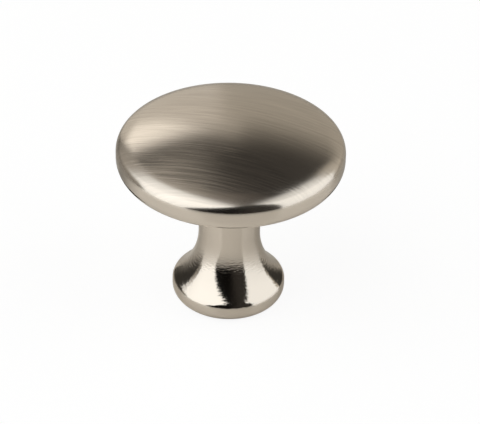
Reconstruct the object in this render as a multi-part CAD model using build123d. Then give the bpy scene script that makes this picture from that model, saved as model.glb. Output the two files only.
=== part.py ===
from build123d import *
import os
from math import asin, acos, cos, degrees, radians, sin, tan

# Cabinet knob: one solid metal casting with a domed head, a waisted stem and a flared foot.
# Millimetres and degrees. The origin is the centre of the seat that meets the drawer front.
# +Z points out of the drawer front, up through the stem to the top of the dome.

# Overall sizes
overall_height = 28.5
head_diameter = 32.0
neck_diameter = 8.7
foot_diameter = 16.0

# Head: a shallow dome that steepens near its edge, a rounded rim with a narrow upright band,
# and a slightly conical underside
dome_radius = 45.0
dome_edge_radius = 8.0
dome_edge_slope = 32.0
rim_upper_round = 1.6
rim_band = 0.85
rim_lower_round = 2.0
underside_slope = 8.0
underside_fillet = 6.0

# Foot: a rounded bottom edge, an upright band and a rounded shoulder under a two-arc flare
foot_edge_round = 1.75
foot_band = 0.65
shoulder_round = 1.0
shoulder_slope = 40.0
lower_flare_radius = 8.5
upper_flare_radius = 10.5

# Relief cored out of the foot, so that only an outer ring touches the drawer front
seat_ring_width = 1.1
relief_depth = 2.0
relief_draft = 3.0
relief_fillet = 0.4
boss_wall = 1.0
boss_setback = 0.3
edge_break = 0.15

# Blind screw hole, tapped M4 in the boss
thread_diameter = 4.0
thread_pitch = 0.7
drilled_depth = 14.0
drill_point_angle = 118.0
countersink_margin = 0.3

# An arc limited by the wall beside it takes this share of the room, and the rest stays straight
fillet_share = 0.9

head_radius = head_diameter / 2
neck_radius = neck_diameter / 2
foot_radius = foot_diameter / 2
tap_drill_radius = (thread_diameter - thread_pitch) / 2


def bend(path, radius, turn):
    """Goes on from the end of a path along a tangent arc; a positive turn is anticlockwise."""
    return JernArc(path @ 1, path % 1, radius, turn)


def outer_section():
    """Half section of the outside, from the seat up the stem and over the rim to the dome's top."""
    # The dome, its edge arc and the rim's upper rounding are tangent, and the dome takes what reach is left
    edge_slope = radians(dome_edge_slope)
    edge_reach = (dome_edge_radius - rim_upper_round) * sin(edge_slope)
    dome_slope = asin((head_radius - rim_upper_round - edge_reach) / (dome_radius - dome_edge_radius))
    edge_centre = dome_point(dome_slope)[1] - dome_edge_radius * cos(dome_slope)
    band_top = edge_centre + (dome_edge_radius - rim_upper_round) * cos(edge_slope)
    band_bottom = band_top - rim_band

    # The underside falls towards the stem from where it leaves the rim's lower rounding
    slope = radians(underside_slope)
    underside_radius = head_radius - rim_lower_round * (1 - sin(slope))
    underside_edge = band_bottom - rim_lower_round * cos(slope)
    stem_top = underside_edge - (underside_radius - neck_radius) * tan(slope)

    # The flare turns from the shoulder's slope to upright while it reaches in to the neck
    flare_turn = radians(90 - shoulder_slope)
    reach = foot_radius - neck_radius - shoulder_round * (1 - cos(flare_turn))
    lower_radius = min(lower_flare_radius, fillet_share * reach / (1 - cos(flare_turn)))
    arc_step = upper_flare_radius - lower_radius
    upper_turn = acos((upper_flare_radius - lower_radius * cos(flare_turn) - reach) / arc_step)
    lower_turn = flare_turn - upper_turn

    # The head's fillet takes its named radius, or what the straight neck leaves room for
    half_corner = radians(90 - underside_slope) / 2
    flare_height = lower_radius * sin(flare_turn) + arc_step * sin(upper_turn)
    shoulder_height = foot_edge_round + foot_band + shoulder_round * sin(flare_turn)
    neck_room = stem_top - shoulder_height - flare_height
    head_fillet = min(underside_fillet, fillet_share * neck_room / tan(half_corner))
    neck_top = stem_top - head_fillet * tan(half_corner)

    with BuildSketch(Plane.XZ) as section:
        with BuildLine():
            seat = Line((0, 0), (foot_radius - foot_edge_round, 0))
            foot_edge = bend(seat, foot_edge_round, 90)
            band = Line(foot_edge @ 1, (foot_radius, foot_edge_round + foot_band))
            shoulder = bend(band, shoulder_round, degrees(flare_turn))
            lower_flare = bend(shoulder, lower_radius, -degrees(lower_turn))
            upper_flare = bend(lower_flare, upper_flare_radius, -degrees(upper_turn))
            neck = Line(upper_flare @ 1, (neck_radius, neck_top))
            fillet_arc = bend(neck, head_fillet, underside_slope - 90)
            underside = Line(fillet_arc @ 1, (underside_radius, underside_edge))
            lower_rim = bend(underside, rim_lower_round, 90 - underside_slope)
            rim = Line(lower_rim @ 1, (head_radius, band_top))
            upper_rim = bend(rim, rim_upper_round, 90 - dome_edge_slope)
            dome_edge = bend(upper_rim, dome_edge_radius, dome_edge_slope - degrees(dome_slope))
            dome = ThreePointArc(
                dome_edge @ 1,
                dome_point(dome_slope / 2),
                dome_point(0),
            )
            Line(dome @ 1, seat @ 0)
        make_face()
    return section.sketch


def dome_point(slope):
    """Point of the dome where its surface has this slope, in radians."""
    return (dome_radius * sin(slope), overall_height - dome_radius * (1 - cos(slope)))


def relief_section():
    """Half section of what is cored out of the foot: a ring with drafted walls round the boss."""
    relief_radius = foot_radius - foot_edge_round - seat_ring_width
    boss_radius = thread_diameter / 2 + boss_wall
    draft = tan(radians(relief_draft))
    ceiling_outer = relief_radius - (relief_depth - edge_break) * draft
    ceiling_inner = boss_radius + (relief_depth - boss_setback - edge_break) * draft

    # The ceiling's fillets take their named radius, or what its width leaves room for
    fillet_room = (ceiling_outer - ceiling_inner) / 2
    half_corner = radians(90 - relief_draft) / 2
    ceiling_fillet = min(relief_fillet, fillet_share * fillet_room / tan(half_corner))

    with BuildSketch(Plane.XZ) as section:
        with BuildLine():
            Polyline(
                (0, 0),
                (relief_radius + edge_break, 0),
                (relief_radius, edge_break),
                (ceiling_outer, relief_depth),
                (ceiling_inner, relief_depth),
                (boss_radius, boss_setback + edge_break),
                (boss_radius - edge_break, boss_setback),
                (0, boss_setback),
                close=True,
            )
        make_face()
        fillet(section.vertices().group_by(Axis.Y)[-1], ceiling_fillet)
    return section.sketch


def hole_section():
    """Half section of the tapped hole: a 90 degree countersink, the tap drill and its point."""
    mouth_radius = thread_diameter / 2 + countersink_margin
    countersink_top = boss_setback + mouth_radius - tap_drill_radius
    point_height = tap_drill_radius / tan(radians(drill_point_angle / 2))

    with BuildSketch(Plane.XZ) as section:
        with BuildLine():
            Polyline(
                (0, boss_setback),
                (mouth_radius, boss_setback),
                (tap_drill_radius, countersink_top),
                (tap_drill_radius, drilled_depth),
                (0, drilled_depth + point_height),
                close=True,
            )
        make_face()
    return section.sketch


def knob():
    """The whole casting: the turned outside, less the foot's relief and the screw hole."""
    solid = revolve(outer_section(), Axis.Z)
    solid -= revolve(relief_section(), Axis.Z)
    solid -= revolve(hole_section(), Axis.Z)
    return solid


os.makedirs("parts", exist_ok=True)
export_step(knob(), "parts/knob.step")
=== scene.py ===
import bmesh
import bpy
from math import acos, asin, ceil, cos, pi, radians, sin, tan
from mathutils import Matrix, Vector


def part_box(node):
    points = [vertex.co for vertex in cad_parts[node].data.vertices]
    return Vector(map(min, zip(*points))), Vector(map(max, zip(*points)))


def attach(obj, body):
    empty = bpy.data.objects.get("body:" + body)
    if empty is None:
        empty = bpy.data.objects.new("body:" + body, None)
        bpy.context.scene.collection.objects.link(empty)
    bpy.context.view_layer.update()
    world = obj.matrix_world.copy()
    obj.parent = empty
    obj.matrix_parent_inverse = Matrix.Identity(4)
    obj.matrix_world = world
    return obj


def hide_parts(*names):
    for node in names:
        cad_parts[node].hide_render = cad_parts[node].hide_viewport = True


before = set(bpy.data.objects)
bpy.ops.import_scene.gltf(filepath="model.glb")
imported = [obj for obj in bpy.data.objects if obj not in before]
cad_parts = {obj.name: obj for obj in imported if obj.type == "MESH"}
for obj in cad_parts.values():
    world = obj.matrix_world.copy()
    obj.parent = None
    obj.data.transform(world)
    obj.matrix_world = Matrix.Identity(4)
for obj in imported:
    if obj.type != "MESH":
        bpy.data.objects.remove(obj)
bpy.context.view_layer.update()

# The looks of a cabinet knob: one turned casting in satin nickel, standing on white in a photo studio

# Metres throughout; sizes are written in millimetres
MM = 0.001

# Outside of the casting
lowest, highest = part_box("knob")
overall_height = highest.z
head_radius = highest.y
neck_radius = 4.35 * MM
foot_radius = 8.0 * MM

# Head
dome_radius = 45.0 * MM
dome_edge_radius = 8.0 * MM
dome_edge_slope = radians(32)
rim_upper_round = 1.6 * MM
rim_band = 0.85 * MM
rim_lower_round = 2.0 * MM
underside_slope = radians(8)
underside_fillet = 6.0 * MM

# Foot
foot_edge_round = 1.75 * MM
foot_band = 0.65 * MM
shoulder_round = 1.0 * MM
shoulder_slope = radians(40)
lower_flare = 8.5 * MM
upper_flare = 10.5 * MM

# Relief under the foot
seat_ring_width = 1.1 * MM
relief_depth = 2.0 * MM
relief_draft = radians(3)
relief_fillet = 0.4 * MM
boss_radius = 3.0 * MM
boss_setback = 0.3 * MM
edge_break = 0.15 * MM

# Tapped M4 hole
thread_major = 2.0 * MM
thread_minor = 1.65 * MM
thread_pitch = 0.7 * MM
full_thread_end = 12.0 * MM
thread_run_out = 0.7 * MM
drilled_depth = 14.0 * MM
drill_point_angle = radians(118)
countersink_margin = 0.3 * MM

# Fineness of the turned mesh
turn_segments = 192
step_on_arcs = radians(4)
longest_step = 0.45 * MM
thread_rows = 12
crease_angle = radians(25)
weld_distance = 0.001 * MM

# The dome is brushed in one direction, turned from the X axis, out to a reach and above a height
brush_turn = radians(-15.5)
brushed_edge = 14.5 * MM
brushed_from = 24.8 * MM

# Noise cells in a metre: across and along the strokes, and round and up the flare
fine_strokes = (5500, 180)
wide_strokes = (2600, 90)
buffing_marks = (1500, 4500)

# Nickel plate, halfway between a lighter and a darker copy: the brush streaks are painted between the
# two, partly the plate's own uneven tone and partly painted sheen. Brushing adds its own roughness to the
# polished one
tone_and_sheen_light_nickel = (0.86, 0.780, 0.688)
tone_and_shade_dark_nickel = (0.54, 0.490, 0.432)
polished_roughness = 0.10
brushed_roughness = 0.11
mark_height = 0.02 * MM

# Colours of the studio's lit surfaces
cloth_white = (0.97, 0.99, 0.99)
wall_warm = (1.0, 0.94, 0.84)
wall_dull = (1.0, 0.93, 0.80)
patch_cream = (1.0, 0.96, 0.89)
room_brown = (1.0, 0.9, 0.8)

# Floor, table and room
opening_radius = foot_radius - foot_edge_round + 0.15 * MM
floor_radius = 3.0
floor_drop = 0.02 * MM
table_radius = 1.2
room_radius = 1.3


class Wire:
    """One output of a node. Operators on it add Math nodes, so node maths reads as Python."""

    def __init__(self, tree, node, output=0):
        self.tree = tree
        self.node = node
        self.socket = node.outputs[output] if len(node.outputs) else None

    def __getitem__(self, output):
        return Wire(self.tree, self.node, output)

    def math(self, operation, *values):
        """A Math node on these values."""
        return add(self.tree, "ShaderNodeMath", {"operation": operation}, dict(enumerate(values)))

    def __add__(self, other):
        return self.math("ADD", self, other)

    def __sub__(self, other):
        return self.math("SUBTRACT", self, other)

    def __rsub__(self, other):
        return self.math("SUBTRACT", other, self)

    def __mul__(self, other):
        return self.math("MULTIPLY", self, other)

    def __rmul__(self, other):
        return self.math("MULTIPLY", other, self)

    def __truediv__(self, other):
        return self.math("DIVIDE", self, other)

    def __mod__(self, other):
        return self.math("MODULO", self, other)

    def most(self, other):
        """The larger of the two."""
        return self.math("MAXIMUM", self, other)

    def ramp(self, start, end, to_start=0.0, to_end=1.0, kind="SMOOTHSTEP"):
        """Goes from one value to another while this one goes from start to end."""
        ends = {"Value": self, "From Min": start, "From Max": end, "To Min": to_start, "To Max": to_end}
        return add(self.tree, "ShaderNodeMapRange", {"interpolation_type": kind}, ends)


def add(tree, kind, settings=None, values=None):
    """Adds a node: its settings first, then the values or links of its sockets."""
    node = tree.nodes.new(kind)
    for name, value in (settings or {}).items():
        setattr(node, name, value)
    for name, value in (values or {}).items():
        if isinstance(value, Wire):
            tree.links.new(value.socket, node.inputs[name])
        else:
            node.inputs[name].default_value = value
    return Wire(tree, node)


def mixed(tree, share, first, second):
    """Colour that goes from the first to the second."""
    made = add(tree, "ShaderNodeMix", {"data_type": "RGBA"}, {0: share, 6: first, 7: second})
    return made[2]


def opaque(colour):
    """The colour with its alpha, as a socket takes it."""
    return (*colour, 1.0)


def new_material(name):
    """Empty material and its node tree."""
    made = bpy.data.materials.new(name)
    made.use_nodes = True
    made.node_tree.nodes.clear()
    return made, made.node_tree


def surface(tree, shader):
    """Joins a shader to the material's output."""
    add(tree, "ShaderNodeOutputMaterial", None, {"Surface": shader})


# Half section of the casting, as points (radius, height)


def line(path, end):
    """Goes on straight to a point, in even steps."""
    start = Vector(path[-1])
    run = Vector(end) - start
    steps = max(1, ceil(run.length / longest_step))
    path += [tuple(start + run * (i + 1) / steps) for i in range(steps)]


def arc(path, centre, radius, start, end):
    """Goes on along an arc between two directions seen from its centre."""
    by_angle = abs(end - start) / step_on_arcs
    by_length = abs(end - start) * radius / longest_step
    steps = max(2, ceil(max(by_angle, by_length)))
    for i in range(1, steps + 1):
        angle = start + (end - start) * i / steps
        path.append((centre[0] + radius * cos(angle), centre[1] + radius * sin(angle)))


def outside():
    """From the seat's outer edge up the stem and over the rim to the dome's top."""
    rim_centre = head_radius - rim_upper_round
    edge_step = dome_edge_radius - rim_upper_round
    dome_slope = asin((rim_centre - edge_step * sin(dome_edge_slope)) / (dome_radius - dome_edge_radius))
    dome_centre = overall_height - dome_radius
    edge_centre_in = (dome_radius - dome_edge_radius) * sin(dome_slope)
    edge_centre_up = dome_centre + (dome_radius - dome_edge_radius) * cos(dome_slope)
    band_top = edge_centre_up + edge_step * cos(dome_edge_slope)
    band_bottom = band_top - rim_band

    flare_turn = pi / 2 - shoulder_slope
    shoulder_in = foot_radius - shoulder_round
    shoulder_height = foot_edge_round + foot_band
    reach = foot_radius - neck_radius - shoulder_round * (1 - cos(flare_turn))
    upper_share = (upper_flare - lower_flare * cos(flare_turn) - reach) / (upper_flare - lower_flare)
    upper_turn = acos(upper_share)

    path = [(foot_radius - foot_edge_round, 0.0)]
    arc(path, (foot_radius - foot_edge_round, foot_edge_round), foot_edge_round, -pi / 2, 0)
    line(path, (foot_radius, shoulder_height))
    arc(path, (shoulder_in, shoulder_height), shoulder_round, 0, flare_turn)

    corner = path[-1]
    out = Vector((cos(flare_turn), sin(flare_turn)))
    lower_centre = Vector(corner) + out * lower_flare
    arc(path, lower_centre, lower_flare, flare_turn - pi, upper_turn - pi)
    joint = Vector((cos(upper_turn), sin(upper_turn)))
    upper_centre = Vector(path[-1]) + joint * upper_flare
    arc(path, upper_centre, upper_flare, upper_turn - pi, -pi)

    underside_radius = head_radius - rim_lower_round * (1 - sin(underside_slope))
    underside_edge = band_bottom - rim_lower_round * cos(underside_slope)
    stem_top = underside_edge - (underside_radius - neck_radius) * tan(underside_slope)
    neck_top = stem_top - underside_fillet * tan((pi / 2 - underside_slope) / 2)
    line(path, (neck_radius, neck_top))
    arc(path, (neck_radius + underside_fillet, neck_top), underside_fillet, pi, pi / 2 + underside_slope)
    line(path, (underside_radius, underside_edge))
    lower_start = underside_slope - pi / 2
    arc(path, (head_radius - rim_lower_round, band_bottom), rim_lower_round, lower_start, 0)
    line(path, (head_radius, band_top))
    edge_start = pi / 2 - dome_edge_slope
    dome_start = pi / 2 - dome_slope
    arc(path, (rim_centre, band_top), rim_upper_round, 0, edge_start)
    arc(path, (edge_centre_in, edge_centre_up), dome_edge_radius, edge_start, dome_start)
    arc(path, (0, dome_centre), dome_radius, dome_start, pi / 2)
    return path


def underneath():
    """From the seat's outer edge in over the relief and the boss to the countersink's mouth."""
    relief_radius = foot_radius - foot_edge_round - seat_ring_width
    mouth_radius = thread_major + countersink_margin
    lean = tan(relief_draft)
    outer_top = relief_radius - (relief_depth - edge_break) * lean
    inner_top = boss_radius + (relief_depth - boss_setback - edge_break) * lean
    fillet_reach = relief_fillet * (1 - sin(relief_draft)) / cos(relief_draft)
    fillet_centre = relief_depth - relief_fillet
    outer_wall = fillet_centre + relief_fillet * sin(relief_draft)

    path = [(foot_radius - foot_edge_round, 0.0)]
    line(path, (relief_radius + edge_break, 0.0))
    line(path, (relief_radius, edge_break))
    outer_centre = outer_top - fillet_reach
    line(path, (outer_centre + relief_fillet * cos(relief_draft), outer_wall))
    arc(path, (outer_centre, fillet_centre), relief_fillet, relief_draft, pi / 2)
    inner_centre = inner_top + fillet_reach
    line(path, (inner_centre, relief_depth))
    arc(path, (inner_centre, fillet_centre), relief_fillet, pi / 2, pi - relief_draft)
    line(path, (boss_radius, boss_setback + edge_break))
    line(path, (boss_radius - edge_break, boss_setback))
    line(path, (mouth_radius, boss_setback))
    return path


def bore():
    """From the countersink's mouth up the tapped wall to the drill point, with the cut of the thread."""
    mouth_radius = thread_major + countersink_margin
    row = thread_pitch / thread_rows
    full_cut = thread_major - thread_minor
    rows = []
    height = boss_setback
    while height < drilled_depth - row / 2:
        radius = max(thread_minor, mouth_radius - (height - boss_setback))
        fade = (full_thread_end + thread_run_out - height) / thread_run_out
        cut = full_cut * min(1.0, max(0.0, fade))
        rows.append(((radius, height), cut))
        height += row
    rows.append(((thread_minor, drilled_depth), 0.0))
    point_height = thread_minor / tan(drill_point_angle / 2)
    rows.append(((0.0, drilled_depth + point_height), 0.0))
    return rows


def half_section():
    """The whole half section from the dome's top round to the drill point, and the thread's cut on it."""
    plain = list(reversed(outside())) + underneath()[1:]
    rows = [(point, 0.0) for point in plain]
    rows += bore()[1:]
    return rows


def section_mesh():
    """Polyline of the half section, with the thread's cut as an attribute."""
    rows = half_section()
    points = [(radius, 0.0, height) for (radius, height), cut in rows]
    edges = [(i, i + 1) for i in range(len(points) - 1)]
    mesh = bpy.data.meshes.new("half_section")
    mesh.from_pydata(points, edges, [])
    cuts = mesh.attributes.new("cut", "FLOAT", "POINT")
    cuts.data.foreach_set("value", [cut for point, cut in rows])
    return mesh


def lathe_tree():
    """Turns a half section about Z, with a right-hand thread wherever the section has a cut."""
    tree = bpy.data.node_groups.new("lathe_with_thread", "GeometryNodeTree")
    sockets = tree.interface
    sockets.new_socket("Section", in_out="INPUT", socket_type="NodeSocketGeometry")
    sockets.new_socket("Segments", in_out="INPUT", socket_type="NodeSocketInt")
    sockets.new_socket("Pitch", in_out="INPUT", socket_type="NodeSocketFloat")
    sockets.new_socket("Drill Radius", in_out="INPUT", socket_type="NodeSocketFloat")
    sockets.new_socket("Crease Angle", in_out="INPUT", socket_type="NodeSocketFloat")
    sockets.new_socket("Finish", in_out="INPUT", socket_type="NodeSocketMaterial")
    sockets.new_socket("Turned", in_out="OUTPUT", socket_type="NodeSocketGeometry")
    given = add(tree, "NodeGroupInput")
    section = given["Section"]
    segments = given["Segments"]

    # A grid with a column of section points for each step of the turn
    count = add(tree, "GeometryNodeAttributeDomainSize", None, {"Geometry": section})["Point Count"]
    size = {"Size X": 1.0, "Size Y": 1.0, "Vertices X": segments + 1, "Vertices Y": count}
    grid = add(tree, "GeometryNodeMeshGrid", None, size)
    index = add(tree, "GeometryNodeInputIndex")
    along = index % count
    turn = index.math("FLOOR", index / count) / segments

    # The section's point and its cut
    place = add(tree, "GeometryNodeInputPosition")
    picked = {"Geometry": section, "Value": place, "Index": along}
    point = add(tree, "GeometryNodeSampleIndex", {"data_type": "FLOAT_VECTOR"}, picked)
    named = add(tree, "GeometryNodeInputNamedAttribute", {"data_type": "FLOAT"}, {"Name": "cut"})
    picked = {"Geometry": section, "Value": named, "Index": along}
    cut = add(tree, "GeometryNodeSampleIndex", {"data_type": "FLOAT"}, picked)
    parts = add(tree, "ShaderNodeSeparateXYZ", None, {"Vector": point})
    radius = parts["X"]
    height = parts["Z"]

    # The 60 degree thread form: a flat crest of a quarter pitch and a flat root of an eighth
    crest_share = 0.25
    root_share = 0.125
    phase = height / given["Pitch"] - turn
    saw = phase.math("FRACT", phase)
    to_root = 1 - (2 * saw - 1).math("ABSOLUTE", 2 * saw - 1)
    tooth = to_root.ramp(crest_share, 1 - root_share, kind="LINEAR")
    clear = (radius - given["Drill Radius"]).most(0.0)
    grown = radius + (cut * tooth - clear).most(0.0)

    angle = turn * (2 * pi)
    turned = {
        "X": grown * angle.math("COSINE", angle),
        "Y": grown * angle.math("SINE", angle),
        "Z": height,
    }
    moved = add(tree, "ShaderNodeCombineXYZ", None, turned)
    shaped = add(tree, "GeometryNodeSetPosition", None, {"Geometry": grid["Mesh"], "Position": moved})

    # Close the seam and the poles, point the faces outwards, and keep the true creases sharp
    joined = {"Geometry": shaped, "Distance": weld_distance}
    closed = add(tree, "GeometryNodeMergeByDistance", None, joined)
    outwards = add(tree, "GeometryNodeFlipFaces", None, {"Mesh": closed})
    smooth = add(tree, "GeometryNodeSetShadeSmooth", {"domain": "FACE"}, {"Geometry": outwards})
    fold = add(tree, "GeometryNodeInputMeshEdgeAngle")
    limit = {"A": fold["Unsigned Angle"], "B": given["Crease Angle"]}
    crease = add(tree, "FunctionNodeCompare", {"operation": "GREATER_THAN"}, limit)
    settings = {"Geometry": smooth, "Selection": crease, "Shade Smooth": False}
    creased = add(tree, "GeometryNodeSetShadeSmooth", {"domain": "EDGE"}, settings)
    real = add(tree, "GeometryNodeRealizeInstances", None, {"Geometry": creased})
    finished = {"Geometry": real, "Material": given["Finish"]}
    done = add(tree, "GeometryNodeSetMaterial", None, finished)
    add(tree, "NodeGroupOutput", None, {"Turned": done})
    return tree


def set_inputs(modifier, values):
    """Sets a modifier's inputs by their names in the tree."""
    for item in modifier.node_group.interface.items_tree:
        if item.name in values and item.in_out == "INPUT":
            modifier[item.identifier] = values[item.name]


def turned_knob(finish):
    """The casting as one closed mesh, turned from its half section."""
    blank = bpy.data.objects.new("lathe", section_mesh())
    bpy.context.scene.collection.objects.link(blank)
    modifier = blank.modifiers.new("lathe", "NODES")
    modifier.node_group = lathe_tree()
    values = {
        "Segments": turn_segments,
        "Pitch": thread_pitch,
        "Drill Radius": thread_minor,
        "Crease Angle": crease_angle,
        "Finish": finish,
    }
    set_inputs(modifier, values)
    seen = blank.evaluated_get(bpy.context.evaluated_depsgraph_get())
    mesh = bpy.data.meshes.new_from_object(seen)
    bpy.data.objects.remove(blank)
    mesh.name = "knob_casting"
    piece = bpy.data.objects.new("knob_casting", mesh)
    bpy.context.scene.collection.objects.link(piece)
    return piece


def flat_noise(tree, u, v):
    """Noise over two drawn-out coordinates."""
    place = add(tree, "ShaderNodeCombineXYZ", None, {"X": u, "Y": v, "Z": 0.0})
    values = {"Vector": place, "Scale": 1.0, "Detail": 2.0}
    return add(tree, "ShaderNodeTexNoise", {"noise_dimensions": "2D"}, values)


def brushed_area(tree, along, across, z, ragged):
    """1 on the dome: the strokes run off the head at their ends and stop raggedly beside the rim."""
    end_squeeze = 0.9
    side_squeeze = 1.083
    squeezed = {"X": along * end_squeeze, "Y": across * side_squeeze, "Z": 0.0}
    oval = add(tree, "ShaderNodeCombineXYZ", None, squeezed)
    reach = add(tree, "ShaderNodeVectorMath", {"operation": "LENGTH"}, {0: oval})["Value"]
    edge = reach + ragged * 0.5 * MM
    inside = edge.ramp(brushed_edge, brushed_edge - 0.25 * MM)
    return inside * z.ramp(brushed_from, brushed_from + 0.5 * MM)


def buffing(tree, x, y, z):
    """Height of the buffing marks round the flare."""
    drawn_out = {"X": x * buffing_marks[0], "Y": y * buffing_marks[0], "Z": z * buffing_marks[1]}
    place = add(tree, "ShaderNodeCombineXYZ", None, drawn_out)
    values = {"Vector": place, "Scale": 1.0, "Detail": 2.0}
    rings = add(tree, "ShaderNodeTexNoise", None, values)
    buffed = z.ramp(10.5 * MM, 8 * MM)
    return (rings - 0.5) * buffed * 1.2


def satin_nickel():
    """Nickel plate: brushed on the dome, polished on the rim, the stem and the foot."""
    material, tree = new_material("satin_nickel")
    place = add(tree, "ShaderNodeTexCoord")["Object"]
    parts = add(tree, "ShaderNodeSeparateXYZ", None, {"Vector": place})
    x = parts["X"]
    y = parts["Y"]
    z = parts["Z"]

    # Brush lines: noise drawn out along the strokes
    along = x * cos(brush_turn) + y * sin(brush_turn)
    across = y * cos(brush_turn) - x * sin(brush_turn)
    fine = flat_noise(tree, across * fine_strokes[0], along * fine_strokes[1])
    wide = flat_noise(tree, across * wide_strokes[0], along * wide_strokes[1])
    strokes = (fine - 0.5) * 0.8 + (wide - 0.5) * 1.2
    brushed = brushed_area(tree, along, across, z, wide - 0.5)

    # The rim's upper edge is only touched by the brush, less on the right
    to_left = x.ramp(10 * MM, -2 * MM, 0.5, 1.0)
    touched = to_left * z.ramp(brushed_from - 0.8 * MM, brushed_from) * (1 - brushed)

    # The front has deeper marks than the back, and a stronger painted sheen in the light and dark streaks
    # of its tone
    front_marks_and_sheen = (y + x.most(0.0) * 0.7).ramp(-2.5 * MM, -6 * MM)
    scored = strokes * (brushed * (front_marks_and_sheen * 0.35 + 0.10) + touched * 0.05)
    height = scored + buffing(tree, x, y, z)
    marks = {"Height": height, "Distance": mark_height, "Strength": 1.0}
    bump = add(tree, "ShaderNodeBump", None, marks)

    # Roughness and tone follow the strokes; the light and dark streaks of the tone are partly painted
    # sheen
    roughness = (brushed + touched * 0.8) * brushed_roughness + polished_roughness
    roughness = roughness + (wide - 0.5) * brushed * 0.08
    streak_tone_and_sheen = strokes * (brushed * (front_marks_and_sheen * 1.2 + 0.3) + touched * 0.3)
    tone = mixed(tree, streak_tone_and_sheen.ramp(-0.5, 0.5), opaque(tone_and_sheen_light_nickel), opaque(tone_and_shade_dark_nickel))
    shader = add(tree, "ShaderNodeBsdfPrincipled", None, {
        "Base Color": tone,
        "Metallic": 1.0,
        "Roughness": roughness,
        "Normal": bump,
    })
    surface(tree, shader)
    return material


# Studio


def direction(azimuth, elevation):
    """Unit vector: azimuth 0 is the camera's side and grows to its right; both in degrees."""
    a = radians(azimuth)
    e = radians(elevation)
    return Vector((sin(a) * cos(e), -cos(a) * cos(e), sin(e)))


def side_point(side, share, distance):
    """Place along a card's side: straight between two directions, or a smooth bend through three."""
    low = direction(*side[0]) * distance
    high = direction(*side[-1]) * distance
    middle = direction(*side[1]) * distance if len(side) == 3 else (low + high) / 2
    start = low * (1 - share) * (1 - 2 * share)
    end = high * share * (2 * share - 1)
    return start + middle * 4 * share * (1 - share) + end


def card(name, left_side, right_side, distance, material):
    """A card that faces the knob, between two sides given as directions from low to high."""
    steps = 24
    points = []
    spots = []
    for j in range(steps + 1):
        left = side_point(left_side, j / steps, distance)
        right = side_point(right_side, j / steps, distance)
        for i in range(steps + 1):
            points.append(left.lerp(right, i / steps))
            spots.append((i / steps, j / steps))
    faces = []
    for j in range(steps):
        for i in range(steps):
            k = j * (steps + 1) + i
            faces.append((k, k + steps + 1, k + steps + 2, k + 1))
    mesh = bpy.data.meshes.new(name)
    mesh.from_pydata(points, [], faces)
    uv = mesh.uv_layers.new(name="UVMap")
    for loop in mesh.loops:
        uv.data[loop.index].uv = spots[loop.vertex_index]
    mesh.materials.append(material)
    made = bpy.data.objects.new(name, mesh)
    bpy.context.scene.collection.objects.link(made)
    made.visible_camera = False
    return made


def glow(
    name, colour, strength,
    left=0.05, right=0.05, bottom=0.05, top=0.05,
    low=1.0, high=1.0, first=1.0,
):
    """Lit cloth that fades out over these shares of its width and height.

    Low, high and first are the shares of its strength at its bottom, its top and its left side.
    """
    material, tree = new_material(name)
    uv = add(tree, "ShaderNodeUVMap")
    parts = add(tree, "ShaderNodeSeparateXYZ", None, {"Vector": uv})
    u = parts["X"]
    v = parts["Y"]
    mask = u.ramp(0.0, left) * u.ramp(1.0, 1.0 - right)
    mask = mask * v.ramp(0.0, bottom) * v.ramp(1.0, 1.0 - top)
    end_share = 0.4
    level = v.ramp(0.0, end_share, low * strength, strength)
    level = level * v.ramp(1.0 - end_share, 1.0, 1.0, high)
    level = level * u.ramp(0.0, end_share, first, 1.0)
    light = add(tree, "ShaderNodeEmission", None, {"Color": opaque(colour), "Strength": level})
    gone = add(tree, "ShaderNodeBsdfTransparent")
    surface(tree, add(tree, "ShaderNodeMixShader", None, {0: mask, 1: gone, 2: light}))
    return material


def lit_card(name, cloth, colour, strength, distance, left_side, right_side, **fades):
    """A card with its own lit cloth. One that stands nearer hides the ones behind it."""
    return card(name, left_side, right_side, distance, glow(cloth, colour, strength, **fades))


def softboxes():
    """Two softboxes that lean in over the knob from the left and from the right."""
    lit_card(
        "softbox_left", "softbox_cloth_left", cloth_white,
        strength=1.50,
        distance=0.70,
        left_side=((-85, -2), (-130, 50)),
        right_side=((-41, -2), (-3, 57), (15, 79)),
        left=0.08, right=0.10, bottom=0.02, top=0.06, low=0.95, high=0.72, first=0.9,
    )
    lit_card(
        "softbox_right", "softbox_cloth_right", cloth_white,
        strength=1.26,
        distance=0.70,
        left_side=((47, -2), (50, 79)),
        right_side=((111, -2), (131, 51)),
        left=0.03, right=0.05, bottom=0.02, top=0.14, low=0.90, high=0.55,
    )


def walls():
    """The pale wall behind and its two corners, with a lit patch on its left half."""
    lit_card(
        "wall_left", "wall_paint", wall_warm,
        strength=0.64,
        distance=0.95,
        left_side=((-184, -2), (-184, 49)),
        right_side=((-148, -2), (-144, 31)),
        bottom=0.02, top=0.3,
    )
    lit_card(
        "wall_right", "wall_paint_right", wall_dull,
        strength=0.43,
        distance=0.96,
        left_side=((130, -2), (130, 34)),
        right_side=((186, -2), (184, 51)),
        left=0.02, bottom=0.02, top=0.5, high=0.7,
    )
    lit_card(
        "wall_side", "wall_paint_side", wall_dull,
        strength=0.53,
        distance=0.94,
        left_side=((109, -2), (118, 46)),
        right_side=((140, -2), (142, 50)),
        left=0.02, right=0.3, bottom=0.02, top=0.2, low=0.65,
    )
    lit_card(
        "lit_patch", "wall_patch", patch_cream,
        strength=1.35,
        distance=0.90,
        left_side=((-181, 15), (-179, 43)),
        right_side=((-142, 17), (-144, 36)),
        left=0.55, right=0.17, bottom=0.42, top=0.26,
    )
    lit_card(
        "wall_corner", "wall_corner", wall_warm,
        strength=0.40,
        distance=0.93,
        left_side=((-148, -2), (-144, 50)),
        right_side=((-86, -2), (-112, 52)),
        left=0.12, right=0.05, bottom=0.02, top=0.12, low=0.65, first=0.7,
    )


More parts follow.
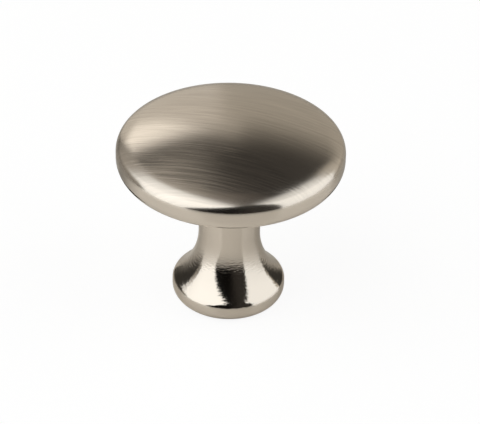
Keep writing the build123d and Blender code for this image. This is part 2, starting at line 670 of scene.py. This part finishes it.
def spilled_light():
    """What the left softbox throws on the corner beside it and on the ceiling."""
    lit_card(
        "box_spill", "box_spill", cloth_white,
        strength=0.95,
        distance=0.76,
        left_side=((-118, 10), (-146, 54)),
        right_side=((-93, 10), (-122, 54)),
        left=0.85, right=0.02, bottom=0.4, top=0.2,
    )
    lit_card(
        "ceiling_left", "ceiling_paint", wall_warm,
        strength=0.40,
        distance=0.91,
        left_side=((-180, 39), (-180, 80)),
        right_side=((-118, 39), (-100, 80)),
        left=0.7, right=0.2, bottom=0.2, top=0.2, high=0.65,
    )


def low_screens():
    """Low dark screens close behind the knob, which only its foot sees."""
    left = lit_card(
        "screen_left", "screen_cloth_left", wall_warm,
        strength=0.04,
        distance=0.026,
        left_side=((-140, -1), (-138, 30)),
        right_side=((-78, -1), (-94, 30)),
        left=0.15, right=0.06, bottom=0.5, top=0.2,
    )
    right = lit_card(
        "screen_right", "screen_cloth_right", wall_warm,
        strength=0.04,
        distance=0.026,
        left_side=((100, -1), (107, 29)),
        right_side=((140, -1), (139, 29)),
        left=0.08, right=0.15, bottom=0.4, top=0.3,
    )
    for made in (left, right):
        made.visible_diffuse = False
        made.visible_shadow = False


def dark_room():
    """The unlit studio round the lights, and under the floor the light that shows the knob from below."""
    material, tree = new_material("dark_room_paint")
    place = add(tree, "ShaderNodeTexCoord")["Object"]
    parts = add(tree, "ShaderNodeSeparateXYZ", None, {"Vector": place})

    # Its back and right are a little less dark, and so is its ceiling, most of all on the left
    behind = parts["Y"].ramp(-0.4, 0.4)
    to_right = parts["X"].ramp(0.0, 0.5)
    above = parts["Z"].ramp(1.19, 1.27) * parts["X"].ramp(0.3, -0.3, 0.08, 0.24)
    under = parts["Z"].ramp(-0.01, -0.1, 0.0, 0.6)
    level = (behind.most(to_right) * 0.03).most(above).most(under) + 0.005
    lit = {"Color": opaque(room_brown), "Strength": level}
    surface(tree, add(tree, "ShaderNodeEmission", None, lit))
    mesh = bpy.data.meshes.new("dark_room")
    shell = bmesh.new()
    bmesh.ops.create_uvsphere(shell, u_segments=48, v_segments=24, radius=room_radius)
    bmesh.ops.reverse_faces(shell, faces=shell.faces)
    shell.to_mesh(mesh)
    shell.free()
    mesh.materials.append(material)
    made = bpy.data.objects.new("dark_room", mesh)
    bpy.context.scene.collection.objects.link(made)
    made.visible_camera = False


def level_sheet(name, radius, height, material):
    """Round sheet lying level, open under the foot so that the knob's underside can be looked at."""
    steps = 96
    spokes = [(cos(2 * pi * i / steps), sin(2 * pi * i / steps)) for i in range(steps)]
    points = [(c * reach, s * reach, height) for reach in (opening_radius, radius) for c, s in spokes]
    faces = []
    for i in range(steps):
        following = (i + 1) % steps
        faces.append((i, steps + i, steps + following, following))
    mesh = bpy.data.meshes.new(name)
    mesh.from_pydata(points, [], faces)
    mesh.materials.append(material)
    made = bpy.data.objects.new(name, mesh)
    bpy.context.scene.collection.objects.link(made)
    return made


def seen_background(tree):
    """1 for the rays that show the white background: from the camera, in a gloss or through glass."""
    ray = add(tree, "ShaderNodeLightPath")
    return ray["Is Camera Ray"].most(ray["Is Glossy Ray"]).most(ray["Is Transmission Ray"])


def floor_paper():
    """White paper: mostly its own white to the camera, with the knob's faint shadow on it."""
    paper_grey = (0.9, 0.9, 0.9)
    own_strength = 1.07
    own_share = 0.84
    material, tree = new_material("floor_paper")
    paper = add(tree, "ShaderNodeBsdfDiffuse", None, {"Color": opaque(paper_grey)})
    white = add(tree, "ShaderNodeEmission", None, {"Strength": own_strength})
    share = seen_background(tree) * own_share
    lit = add(tree, "ShaderNodeMixShader", None, {0: share, 1: paper, 2: white})
    from_below = add(tree, "ShaderNodeNewGeometry")["Backfacing"]
    clear = add(tree, "ShaderNodeBsdfTransparent")
    surface(tree, add(tree, "ShaderNodeMixShader", None, {0: from_below, 1: lit, 2: clear}))
    return material


def grey_card():
    """Pale glossy table that only the metal sees, in place of the paper, with painted shade towards its
    back and painted light at its front left.
    """
    front_right = (0.95, 0.91, 0.85)
    lit_front_left = (1.0, 0.96, 0.90)
    shaded_back_right = (0.57, 0.54, 0.495)
    shaded_back_left = (0.42, 0.40, 0.37)
    material, tree = new_material("table_gloss")
    place = add(tree, "ShaderNodeTexCoord")["Object"]
    parts = add(tree, "ShaderNodeSeparateXYZ", None, {"Vector": place})

    # Painted shade: it darkens towards the back, a little sooner on the left; painted light makes its
    # front left paler than its front right
    behind = (parts["Y"] - parts["X"] * 0.08).ramp(-2 * MM, 26 * MM)
    to_left = parts["X"].ramp(-3 * MM, -26 * MM)
    front = mixed(tree, to_left, opaque(front_right), opaque(lit_front_left))
    back = mixed(tree, to_left, opaque(shaded_back_right), opaque(shaded_back_left))
    paint = add(tree, "ShaderNodeBsdfPrincipled", None, {
        "Base Color": mixed(tree, behind, front, back),
        "Roughness": 0.08,
    })
    from_below = add(tree, "ShaderNodeNewGeometry")["Backfacing"]
    clear = add(tree, "ShaderNodeBsdfTransparent")
    surface(tree, add(tree, "ShaderNodeMixShader", None, {0: from_below, 1: paint, 2: clear}))
    return material


def floor():
    """White paper, and over it the table that the knob reflects instead."""
    level_sheet("floor", floor_radius, -floor_drop, floor_paper())
    shown = level_sheet("floor_grey_card", table_radius, 0.0, grey_card())
    shown.visible_camera = False
    shown.visible_shadow = False
    shown.visible_diffuse = False


def studio_world():
    """White to the camera, in a gloss and through glass; dim for everything else."""
    world = bpy.data.worlds.new("studio")
    bpy.context.scene.world = world
    world.use_nodes = True
    tree = world.node_tree
    tree.nodes.clear()
    level = seen_background(tree) * 0.7 + 0.3
    back = add(tree, "ShaderNodeBackground", None, {"Strength": level})
    add(tree, "ShaderNodeOutputWorld", None, {"Surface": back})


def camera():
    """Stands where the photograph was taken from, with the knob at the same place in the frame."""
    frame_width = 480
    frame_height = 424
    focal_pixels = 2875.6
    elevation = radians(34.205)
    roll = radians(1.122)
    distance = 400 * MM
    aim = Vector((0, 0, 23 * MM))
    aim_column = 229.655
    aim_row = 157.987

    back = Vector((0, -cos(elevation), sin(elevation)))
    ahead = -back
    right = Vector((1, 0, 0))
    up = right.cross(ahead)
    to_right = (aim_column - frame_width / 2) / focal_pixels
    downwards = (aim_row - frame_height / 2) / focal_pixels
    ahead = (ahead - to_right * right + downwards * up).normalized()
    right = ahead.cross(up).normalized()
    up = right.cross(ahead)
    rolled_right = cos(roll) * right + sin(roll) * up
    rolled_up = cos(roll) * up - sin(roll) * right

    lens = bpy.data.cameras.new("camera")
    lens.sensor_width = 36.0
    lens.lens = focal_pixels * lens.sensor_width / frame_width
    lens.clip_start = 0.01
    lens.clip_end = 10.0
    made = bpy.data.objects.new("camera", lens)
    bpy.context.scene.collection.objects.link(made)
    axes = (rolled_right, rolled_up, -ahead)
    made.rotation_mode = "QUATERNION"
    turned = [[axis[i] for axis in axes] for i in range(3)]
    made.rotation_quaternion = Matrix(turned).to_quaternion()
    made.location = aim + back * distance
    bpy.context.scene.camera = made


bpy.context.scene.view_settings.view_transform = "Standard"
camera()
studio_world()
floor()
dark_room()
softboxes()
walls()
spilled_light()
low_screens()

knob = turned_knob(satin_nickel())
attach(knob, "root")
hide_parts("knob")
